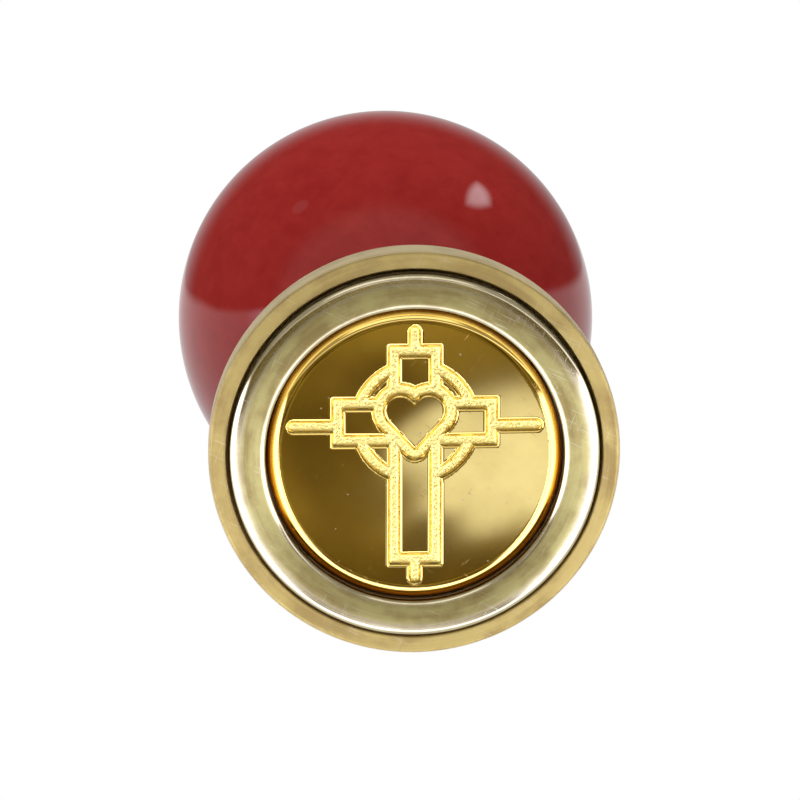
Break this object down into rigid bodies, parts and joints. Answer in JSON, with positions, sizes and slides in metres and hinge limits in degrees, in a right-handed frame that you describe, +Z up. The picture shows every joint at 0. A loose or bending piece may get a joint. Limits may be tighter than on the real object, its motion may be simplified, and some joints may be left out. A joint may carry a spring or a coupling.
{
  "type": "wax seal stamp",
  "caption": "Wax seal stamp with a glossy ball handle, a turned brass head, and an engraved coin die held by a ring that unscrews.",
  "frame": {"origin": "on the stamp's axis, in the plane of the retaining ring's front face, which the stamp stands on", "axes": "+Z up along the axis from the die to the knob; -Y is the engraved motif's up direction"},
  "size_m": [0.03, 0.03, 0.059],
  "materials": {
    "red_glaze": "high gloss red glaze",
    "satin_brass": "satin, finely turned",
    "pale_brass": "turned face with polished edges",
    "gold_plate": "mirror polished, gold plated, frosted grooves",
    "plain_brass": "as machined",
    "zinc_steel": "bright zinc plate",
    "soft_pad": "matte black",
    "fibre": "matte vulcanised fibre"
  },
  "bodies": {
    "ring": {"retaining_ring": "pale_brass"},
    "coin": {"die_coin": "gold_plate"},
    "handle": {"handle_knob": "red_glaze", "threaded_insert": "plain_brass", "neck_washer": "fibre", "ferrule": "satin_brass", "fixing_screw": "zinc_steel", "spring_washer": "zinc_steel", "coin_pad": "soft_pad"}
  },
  "joints": [
    {"name": "ring_turn", "type": "hinge", "parent": "ring", "child": "coin", "pos_m": [0, 0, 0], "axis": [0, 0, 1], "range_deg": [0, 1261]},
    {"name": "handle_lift", "type": "slide", "parent": "coin", "child": "handle", "axis": [0, 0, 1], "range_m": [0, 0.00263]}
  ],
  "couplings": [
    {"joint": "ring_turn", "follows": "handle_lift", "rad_per_m": 8377.6}
  ]
}
